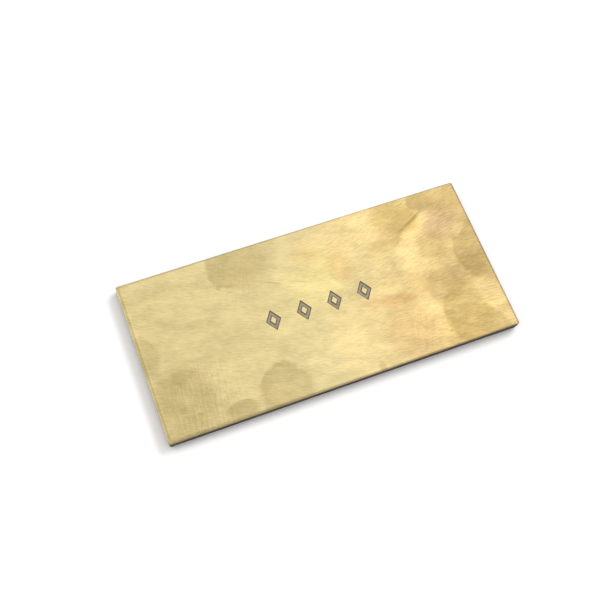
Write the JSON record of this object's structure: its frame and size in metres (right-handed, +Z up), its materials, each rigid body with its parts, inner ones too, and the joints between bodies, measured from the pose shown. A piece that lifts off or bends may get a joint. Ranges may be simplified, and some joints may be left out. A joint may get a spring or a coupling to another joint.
{
  "type": "paperweight",
  "caption": "Thin flat rectangular brass paperweight with bevelled top edges, a centred row of engraved and filled lozenges, and a thin leather base pad.",
  "frame": {"origin": "middle of the underside of the base pad, on the surface that the paperweight rests on", "axes": "+X along the plate's long side, +Y across it towards the top of the engraved marks, +Z up out of the engraved face"},
  "size_m": [0.1, 0.046, 0.0032],
  "materials": {
    "brass": "hand-rubbed satin with a light patina and dark sides",
    "infill": "matt grey-brown enamel",
    "adhesive": "translucent bonding film",
    "leather": "matt dark brown, cut edges"
  },
  "bodies": {
    "root": {"brass_plate": "brass", "mark_infill_1": "infill", "mark_infill_2": "infill", "mark_infill_3": "infill", "mark_infill_4": "infill", "adhesive_film": "adhesive", "base_pad": "leather"}
  },
  "joints": []
}
